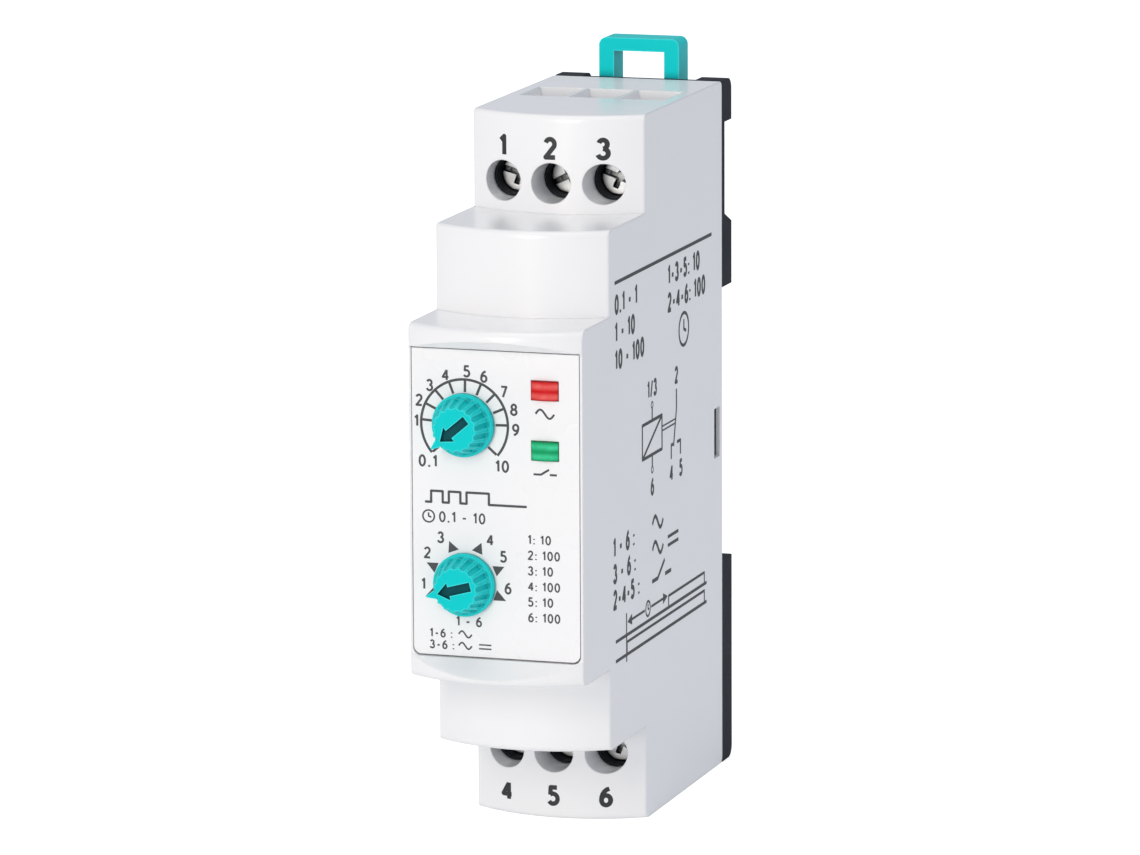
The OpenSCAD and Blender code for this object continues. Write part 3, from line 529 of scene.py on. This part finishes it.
def strip(points, width, closed=False):
    """A strip of even width along points that turn gently."""
    ends = len(points)
    lefts, rights = [], []
    for i, here in enumerate(points):
        arms = []
        if i or closed:
            arms.append((here - points[i - 1]).normalized())
        if i < ends - 1 or closed:
            arms.append((points[(i + 1) % ends] - here).normalized())
        along = sum(arms, Vector((0, 0))).normalized()
        reach = Vector((-along.y, along.x)) * width / 2 / along.dot(arms[0])
        lefts.append(here + reach)
        rights.append(here - reach)
    spans = ends if closed else ends - 1
    return lefts + rights, [(ends + i, ends + (i + 1) % ends, (i + 1) % ends, i)
                            for i in range(spans)]


def stroke(points, width, closed=False):
    """A line of even width with round corners; a closed one is a smooth ring."""
    sharp = math.radians(35)
    points = [Vector(p) for p in points]
    if closed:
        return strip(points, width, closed=True)
    pieces, run = [], [points[0]]
    for before, here, after in zip(points, points[1:], points[2:]):
        run.append(here)
        if (here - before).angle(after - here) > sharp:
            pieces += [strip(cut_spans(run), width), disc(here, width / 2)]
            run = [here]
    pieces.append(strip(cut_spans(run + points[-1:]), width))
    return together(pieces)


def patch(points):
    """A filled outline."""
    corners = [Vector(p) for p in points]
    turn = sum(a.cross(b) for a, b in zip(corners, corners[1:] + corners[:1]))
    order = range(len(corners)) if turn > 0 else reversed(range(len(corners)))
    return corners, [tuple(order)]


def disc(centre, radius):
    """A small filled circle with twelve sides."""
    return patch(arc(0, 330, radius, centre, 30))


def ring(centre, radius, width, step=15):
    """A circle drawn with a line, with a corner at every step of its angle in degrees."""
    return stroke(arc(0, 360, radius, centre, step)[:-1], width, closed=True)


def clock(angle, radius, centre=(0, 0)):
    """The flat point at an angle in degrees, clockwise from straight up."""
    turn = math.radians(angle)
    return centre[0] + radius * math.sin(turn), centre[1] + radius * math.cos(turn)


def arc(start, end, radius, centre=(0, 0), step=3):
    """Flat points along an arc, clockwise from straight up."""
    count = max(2, round(abs(end - start) / step))
    return [clock(start + (end - start) * i / count, radius, centre) for i in range(count + 1)]


print("a circle of", len(arc(0, 360, 1)) - 1, "sides")

# %% [markdown]
# ## Numerals
# Type could come from a font, but thin print at this size needs an even line that never
# fills in, so each figure is drawn from strokes, as an engraver's template does it. The path
# of each figure lies in a box one unit high. Round parts are pieces of an oval, which starts
# and ends at angles clockwise from the top.

# %% The paths of the figures
most_wide = 0.54                           # width of most figures, in figure heights


def oval(x, y, across, tall, start=0, end=360, step=18):
    """Points along an oval round (x, y); a full turn leaves out its last point."""
    count = max(4, round(abs(end - start) / step))
    last = count if end - start == 360 else count + 1
    turns = [math.radians(start + (end - start) * i / count) for i in range(last)]
    return [(x + across * math.sin(t), y + tall * math.cos(t)) for t in turns]


six = [oval(0.28, 0.3, 0.26, 0.3), oval(0.52, 0.32, 0.5, 0.69, -90, -6)]
figure_paths = {
    "0": [oval(0.27, 0.5, 0.27, 0.5)],
    "1": [[(0.02, 0.78), (0.24, 1), (0.24, 0)]],
    "2": [oval(0.26, 0.73, 0.25, 0.27, -75, 118) + [(0, 0), (0.54, 0)]],
    "3": [oval(0.25, 0.76, 0.22, 0.24, -72, 180), oval(0.25, 0.26, 0.27, 0.26, 0, 255)],
    "4": [[(0.42, 0), (0.42, 1)], [(0.4, 0.96), (0.02, 0.3), (0.6, 0.3)]],
    "5": [[(0.48, 1), (0.09, 1), (0.06, 0.54)], oval(0.23, 0.31, 0.29, 0.31, -40, 238)],
    "6": six,
    "7": [[(0, 1), (0.52, 1), (0.17, 0)]],
    "8": [oval(0.27, 0.76, 0.22, 0.24), oval(0.27, 0.26, 0.27, 0.26)],
    # a nine is a six turned upside down
    "9": [[(most_wide - x, 1 - y) for x, y in path] for path in six],
    ".": [[(0.06, -0.09), (0.06, 0.09)]],
    ":": [[(0.06, -0.05), (0.06, 0.09)], [(0.06, 0.5), (0.06, 0.64)]],
    "-": [[(0.04, 0.42), (0.38, 0.42)]],
    "/": [[(0, -0.04), (0.34, 1.04)]],
    " ": [],
}
# which paths of a figure are rings, and the widths that differ from most figures' width
closed_figures = {"0": (0,), "6": (0,), "8": (0, 1), "9": (0,)}
widths = {"1": 0.3, ".": 0.12, ":": 0.12, "-": 0.42, "/": 0.34, " ": 0.1}
print(len(figure_paths), "figures and signs")

# %% Write numbers
def numerals(text, height, at=(0, 0), align="CENTER", weight=0.18):
    """Numbers as marks: height and weight in mm, and where their middle or left edge lies."""
    scale = height - weight
    gap = 0.2 + weight / height
    length = (sum(widths.get(c, most_wide) + gap for c in text) - gap) * scale
    left = at[0] - (length / 2 if align == "CENTER" else -weight / 2)
    low = at[1] - scale / 2
    marks = []
    for c in text:
        for i, path in enumerate(figure_paths[c]):
            points = [(left + x * scale, low + y * scale) for x, y in path]
            marks.append(stroke(points, weight, closed=i in closed_figures.get(c, ())))
        left += (widths.get(c, most_wide) + gap) * scale
    return together(marks)


print("the number 10 has", len(numerals("10", 1.5)[1]), "faces")

# %% [markdown]
# ## From flat marks to ink
# Strokes that cross would leave faces on top of each other, so the marks are first merged
# into one flat mesh. That becomes a closed solid: the flat faces on top, the same faces
# turned over below, and walls along their open edges. Both layers are placed by a ray from
# outside to the CAD surface, so the top stands 0.02 mm proud and the bottom lies as far
# under the skin.

# %% Lay marks on a surface
def surface_of(node):
    """A tree for casting rays at a CAD node."""
    mesh = nodes[node].data
    return BVHTree.FromPolygons([v.co for v in mesh.vertices],
                                [tuple(p.vertices) for p in mesh.polygons])


def covered(point, marks):
    """Whether any mark has ink at a flat point."""
    for points, polygons, low, high in marks:
        if low.x <= point.x <= high.x and low.y <= point.y <= high.y:
            for first, *rest in polygons:
                if any(intersect_point_tri_2d(point, points[first], points[i], points[j])
                       for i, j in zip(rest, rest[1:])):
                    return True
    return False


def merge(marks):
    """All marks as one flat mesh, with nothing drawn twice and the holes left open."""
    boxed, corners, faces = [], [], []
    for points, polygons in marks:
        points = [Vector(p) for p in points]
        low = Vector((min(p.x for p in points), min(p.y for p in points)))
        high = Vector((max(p.x for p in points), max(p.y for p in points)))
        boxed.append((points, polygons, low, high))
        faces += [tuple(len(corners) + i for i in face) for face in polygons]
        corners += points
    inside_only, same_point = 1, 1e-4
    points, _, triangles = delaunay_2d_cdt(corners, [], faces, inside_only, same_point)[:3]
    kept = []
    for triangle in triangles:
        middle = sum((points[i] for i in triangle), Vector((0, 0))) / 3
        if covered(middle, boxed):
            kept.append(tuple(triangle))
    return points, kept


def lay_ink(name, marks, node, across, outward, origin, finish):
    """Makes one piece of ink from flat marks on a CAD surface of the housing."""
    thick, stand_off = 0.02 * mm, 50 * mm
    tree = surface_of(node)
    rise = Vector((0, 0, 1))
    points, triangles = merge(marks)
    count = len(points)
    corners = []
    for lift in (thick, -thick):
        for p in points:
            start = origin + across * p.x * mm + rise * p.y * mm + outward * stand_off
            corners.append(tree.ray_cast(start, -outward)[0] + outward * lift)
    sides = {(a, b) for t in triangles for a, b in zip(t, t[1:] + t[:1])}
    faces = triangles + [tuple(count + i for i in reversed(t)) for t in triangles]
    faces += [(b, a, count + a, count + b) for a, b in sides if (b, a) not in sides]
    mesh = bpy.data.meshes.new(name)
    mesh.from_pydata([tuple(c) for c in corners], [], faces)
    mesh.validate()
    mesh.materials.append(finish)
    piece = bpy.data.objects.new(name, mesh)
    scene.collection.objects.link(piece)
    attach(piece, "housing")
    print(name, len(mesh.polygons), "faces")


front, east, back_along_side = Vector((0, -1, 0)), Vector((1, 0, 0)), Vector((0, 1, 0))


def print_label(name, marks, origin):
    """Ink on the label plate; marks are millimetres right of and above the origin."""
    lay_ink(name, marks, "front_plate", east, front, origin, front_ink)


def print_side(name, marks):
    """Ink on the right side; marks are millimetres along Y and Z in the model's frame."""
    lay_ink(name, marks, "shell", back_along_side, east, side_origin, side_ink)


print("ink is laid on the faces towards", tuple(front), "and", tuple(east))

# %% [markdown]
# ## The time scale
# The upper knob sweeps 262 degrees round a scale from 0.1 to 10. The scale is an arc with
# spokes that run in to the knob's flange: nine of them evenly spaced, and one at each end
# where the sweep stops. The figures stand outside the arc and stay upright.

# %% Draw the time scale
line = 0.32
scale_r, spoke_r = 5.62, 4.05
end_angle = joints["time_knob_turn"]["range_deg"][1] / 2
first_spoke, spoke_step = -86, 21.8
marks = [stroke(arc(-end_angle, end_angle, scale_r), line)]
spokes = [-end_angle] + [first_spoke + spoke_step * n for n in range(9)] + [end_angle]
for angle in spokes:
    marks.append(stroke([clock(angle, scale_r - line / 2), clock(angle, spoke_r)], line))
# where each figure's middle stands: its angle in degrees and its distance in millimetres
figures = {"1": (-88.2, 6.25), "2": (-64.5, 6.5), "3": (-43.6, 6.5), "4": (-22, 6.55),
           "5": (3, 6.65), "6": (22.6, 6.6), "7": (50, 6.7), "8": (71.4, 6.75),
           "9": (93, 6.65), "10": (136, 6.95), "0.1": (-135, 6.75)}
for text, (angle, radius) in figures.items():
    marks.append(numerals(text, 1.55, clock(angle, radius), weight=0.27))
print_label("time_scale_print", marks, time_axis)

# %% [markdown]
# ## The step selector
# The lower knob has six positions. Six small filled triangles point in towards it, three on
# each side as mirror images, and each has a plain figure outside it.

# %% Draw the selector
# the three triangles of the right side, from the top down, and the middles of their figures
arrows = [[(0.85, 4.3), (2.1, 5.3), (2.2, 3.8)], [(4.05, 1.2), (3.5, 2.45), (5.05, 2.45)],
          [(4.1, -0.55), (3.6, -1.85), (5.25, -1.85)]]
places = [(3.2, 5.7), (4.95, 3.7), (5.5, -0.25)]
marks = []
for i, (corners, (x, z)) in enumerate(zip(arrows, places)):
    marks.append(patch(corners))
    marks.append(patch([(-u, v) for u, v in corners]))
    marks.append(numerals(str(4 + i), 1.5, (x, z), weight=0.26))
    marks.append(numerals(str(3 - i), 1.5, (-x, z), weight=0.26))
print_label("step_selector_print", marks, step_axis)

# %% [markdown]
# ## The rest of the label
# Beside the selector a short table gives the full scale for each of its six steps. Line
# symbols take the place of words everywhere else: a square wave for the timer, a clock face,
# a sine wave for the supply lens and a switch contact for the output lens.

# %% Line symbols
def square_wave(left, right, low, high, edges):
    """A pulse train: edges gives where the level changes."""
    points, level = [(left, low)], low
    for x in edges:
        points.append((x, level))
        level = high if level == low else low
        points.append((x, level))
    return points + [(right, level)]


def sine_wave(centre, length, height, width):
    """One period of a sine, the sign for alternating current."""
    spans = 16
    return stroke([(centre[0] + length * (i / spans - 0.5),
                    centre[1] + height / 2 * math.sin(2 * math.pi * i / spans))
                   for i in range(spans + 1)], width)


def clock_face(centre, radius, width):
    """A round clock face with two hands."""
    hands = stroke([clock(0, radius * 0.6, centre), centre, clock(110, radius * 0.5, centre)],
                   width)
    return [ring(centre, radius, width), hands]


def level_lines(left, right, heights, width):
    """Level lines above one another, the sign for direct current."""
    return [stroke([(left, z), (right, z)], width) for z in heights]


print("a square wave of", len(square_wave(0, 9, 0, 1, [2, 4, 6])), "points")

# %% Draw the label's other marks
# square wave across the label, between the two knobs
level_changes = [-8.4, -6.9, -6.1, -4.6, -3.8, -0.9]
marks = [stroke(square_wave(-9.2, 4.0, -0.4, 1.0, level_changes), 0.3)]
# clock face and the span of the time scale
marks += clock_face((-8.75, -2.2), 0.75, 0.2)
marks.append(numerals("0.1 - 10", 1.4, (-7.4, -2.2), "LEFT", weight=0.22))
# supply and output signs under the lenses
sign_line, contact_z = 0.26, 3.75
marks.append(sine_wave((lens_x, 11.3), 2.4, 1.1, sign_line))
marks.append(stroke([(lens_x - 1.5, contact_z), (lens_x - 0.55, contact_z),
                     (lens_x + 0.5, contact_z + 0.65)], sign_line))
marks.append(stroke([(lens_x + 0.6, contact_z), (lens_x + 1.5, contact_z)], sign_line))
# full scale of each step
table_x, table_top, row_step = 4.08, -4.46, 1.954
for n in range(6):
    row = f"{n + 1}: {10 if n % 2 == 0 else 100}"
    marks.append(numerals(row, 1.2, (table_x, table_top - row_step * n), "LEFT", weight=0.2))
# the knob's six steps, and the supply terminals
marks.append(numerals("1 - 6", 1.3, (-3.6, -15.2), weight=0.22))
for z, text in ((-16.85, "1-6 :"), (-18.3, "3-6 :")):
    marks.append(numerals(text, 1.15, (-8.75, z), "LEFT", weight=0.2))
    marks.append(sine_wave((-4.1, z), 1.7, 0.8, 0.2))
marks += level_lines(-2.3, -0.7, (-18.05, -18.55), 0.18)
print_label("label_print", marks, front_origin)

# %% [markdown]
# ## Terminal numbers
# Bold numbers are printed on the bowed faces at both ends, beside the screwdriver wells: one
# to three above the top row and four to six below the bottom row.

# %% Number the terminals
top_z, bottom_z = 40.85, -42.0
marks = []
for n, x in enumerate(terminal_x):
    marks.append(numerals(str(n + 1), 2.9, (x, top_z), weight=0.6))
    marks.append(numerals(str(n + 4), 2.7, (x, bottom_z), weight=0.58))
lay_ink("terminal_numbers", marks, "shell", east, front, front_origin, side_ink)

# %% [markdown]
# ## Side print
# The right side shows how the module is wired and how it behaves. A coil box stands between
# its two supply terminals, a double line links it to a changeover contact, and a pulse
# diagram under it shows the delay between supply and output. It is drawn in millimetres
# along Y and up Z, straight on the wall.

# %% Draw the wiring diagram
left_y = -46.4                             # where most of the side's lines start
thin, fine_line = 0.42, 0.2
marks = [stroke([(left_y, 25.7), (-4.7, 25.7)], 0.45)]
# coil with its diagonal and its two terminals
coil_left, coil_right, coil_low, coil_high = -35.0, -26.6, 1.45, 5.8
coil_y = -30.8
box = [(coil_left, coil_low), (coil_right, coil_low), (coil_right, coil_high),
       (coil_left, coil_high)]
marks.append(stroke(box + box[:2], thin))
marks.append(stroke([(coil_left, coil_low), (coil_right, coil_high)], thin))
for z0, z1 in ((coil_high, 7.4), (coil_low, -0.1)):
    marks.append(stroke([(coil_y, z0), (coil_y, z1)], thin))
for z in (7.8, -0.5):
    marks.append(ring((coil_y, z), 0.4, fine_line, step=30))
# double link to the moving contact, and the two fixed ones
moving_y, closed_y, open_y = -20.3, -22.6, -18.6
fixed_low, fixed_high = -0.6, 1.2
marks += level_lines(coil_right, -20.9, (3.75, 4.3), fine_line)
marks.append(stroke([(moving_y, 8.1), (moving_y, 5.6), (-21.6, 0.9)], thin))
for y, tip_y in ((closed_y, -21.9), (open_y, -20.1)):
    marks.append(stroke([(y, fixed_low), (y, fixed_high), (tip_y, fixed_high)], thin))
for text, y, z in (("1/3", coil_y, 9.9), ("6", coil_y, -2.7), ("2", moving_y, 9.9),
                   ("4", closed_y, -2.4), ("5", -18.4, -2.4)):
    marks.append(numerals(text, 2.3, (y, z), weight=0.48))
print_side("wiring_print", marks)

# %% Draw the pulse diagram
pulse_line, fall_y, right_y = 0.36, -8.1, -7.1
marks = [stroke([(-41.9, -16.8), (-41.9, -23.0)], pulse_line)]
# the output's pulse above, and the supply's, which starts earlier, below
for base, top, rise_y in ((-19.6, -18.1, -23.9), (-22.1, -20.5, -41.7)):
    marks.append(stroke([(left_y, base), (right_y, base)], thin))
    marks.append(stroke([(rise_y, base), (rise_y, top), (fall_y, top), (fall_y, base)],
                        pulse_line))
# the delay between them: a line with two arrow heads and a clock face in its middle
delay_z, head_long, head_half = -18.0, 1.9, 0.7
for start_y, stop_y in ((-40.4, -34.2), (-31.4, -25.6)):
    marks.append(stroke([(start_y, delay_z), (stop_y, delay_z)], 0.32))
for tip, side in ((-41.5, 1), (-24.4, -1)):
    root = tip + side * head_long
    marks.append(patch([(tip, delay_z), (root, delay_z + head_half),
                        (root, delay_z - head_half)]))
marks += clock_face((-32.8, delay_z), 0.95, 0.3)
print_side("pulse_print", marks)

# %% Draw the side's tables
sign_bold = 0.5


def column(start_y, rows):
    """Bold rows of numbers that start at one place along Y, each at its own height."""
    return [numerals(text, 2.6, (start_y, z), "LEFT", weight=0.56) for z, text in rows]


marks = column(left_y, ((22.9, "0.1 - 1"), (19.4, "1 - 10"), (15.9, "10 - 100")))
marks += column(-24.0, ((23.2, "1-3-5: 10"), (19.7, "2-4-6: 100")))
marks += clock_face((-17.0, 15.3), 2.1, thin)
marks += column(-47.4, ((-7.6, "1 - 6 :"), (-10.9, "3 - 6 :"), (-14.2, "2-4-5 :")))
# supply signs beside the first two rows of the lower column, and a contact beside the third
for z in (-7.6, -10.9):
    marks.append(sine_wave((-28.5, z), 4.6, 1.8, sign_bold))
marks += level_lines(-24.2, -19.6, (-10.4, -11.5), thin)
marks.append(stroke([(-31.0, -14.9), (-28.6, -14.9), (-25.6, -13.0)], sign_bold))
marks.append(stroke([(-25.4, -14.9), (-22.8, -14.9)], sign_bold))
print_side("side_tables_print", marks)

# %% [markdown]
# ## Floor
# The module stands on a pale table of the kind used for catalogue work: a sheet of opal
# acrylic. To the camera it glows almost white, as if it were lit from below in a second
# exposure, so only a trace of shadow is left; the object gets only a little of that glow.

# %% Make the floor
def opal_table(name):
    """Opal acrylic with a faint mottle, and a glow that is strongest to the camera."""
    made, tree, place = start_material(name)
    mottle = add(tree, "ShaderNodeTexNoise", Vector=place, Scale=per(60), Detail=4.0)
    tone = blend(tree, (mottle, "Fac"), linear("#E9E9EA"), linear("#E3E4E5"))
    seen = add(tree, "ShaderNodeLightPath")
    glow = add(tree, "ShaderNodeMapRange", Value=(seen, "Is Camera Ray"), To_Min=0.17,
               To_Max=0.66)
    skin = add(tree, "ShaderNodeBsdfPrincipled", Base_Color=(tone, "Result"), Roughness=0.8,
               Emission_Color=(1, 1, 1, 1), Emission_Strength=(glow, "Result"))
    add(tree, "ShaderNodeOutputMaterial", Surface=(skin, "BSDF"))
    return made


floor_mesh = bpy.data.meshes.new("floor")
reach, floor_z = 3.0, shell_low.z - 0.02 * mm
floor_mesh.from_pydata([(-reach, -reach, floor_z), (reach, -reach, floor_z),
                        (reach, reach, floor_z), (-reach, reach, floor_z)],
                       [], [(0, 1, 2, 3)])
floor_mesh.materials.append(opal_table("acrylic_opal_table"))
floor = bpy.data.objects.new("floor", floor_mesh)
scene.collection.objects.link(floor)
print("floor at", round(floor_z / mm, 2), "mm")

# %% [markdown]
# ## Light
# A white object on white needs light from one side, or its faces run together. A soft light
# stands in front and a little to the left, so the front faces are brightest and the right
# side falls into a cool grey. A low one fills in under the nose, and a third hangs above for
# the steps. The surroundings light the rest evenly. The surroundings that the camera sees
# directly are plain white, brighter than those that light the object, as a separately lit
# backdrop is in a studio.

# %% Place the lights
def soft_light(name, direction, away, size, power, colour):
    """A square light that looks at the object: metres away, metres wide, power in watts."""
    lamp = bpy.data.lights.new(name, "AREA")
    lamp.size = size
    lamp.energy = power
    lamp.color = linear(colour)[:3]
    stand = bpy.data.objects.new(name, lamp)
    stand.location = target + Vector(direction).normalized() * away
    stand.rotation_mode = "QUATERNION"
    stand.rotation_quaternion = (target - stand.location).to_track_quat("-Z", "Y")
    scene.collection.objects.link(stand)


soft_light("key_light", (-0.1, -1.0, 0.45), 1.3, 0.45, 3.65, "#FFF5E8")
soft_light("low_light", (-0.1, -1.0, 0.07), 1.3, 0.2, 2.5, "#FFF5E8")
soft_light("top_light", (0.0, -0.1, 1.0), 1.1, 0.6, 2.6, "#FFF8EC")

world = bpy.data.worlds.new("studio")
scene.world = world
world.use_nodes = True
sky = world.node_tree
sky.nodes.clear()
ray = add(sky, "ShaderNodeLightPath")
around = add(sky, "ShaderNodeBackground", Color=linear("#E6ECF7"), Strength=0.62)
behind = add(sky, "ShaderNodeBackground", Color=(1, 1, 1, 1), Strength=1.05)
both = add(sky, "ShaderNodeMixShader", i0=(ray, "Is Camera Ray"), i1=(around, "Background"),
           i2=(behind, "Background"))
add(sky, "ShaderNodeOutputWorld", Surface=(both, "Shader"))
scene.view_settings.view_transform = "Standard"
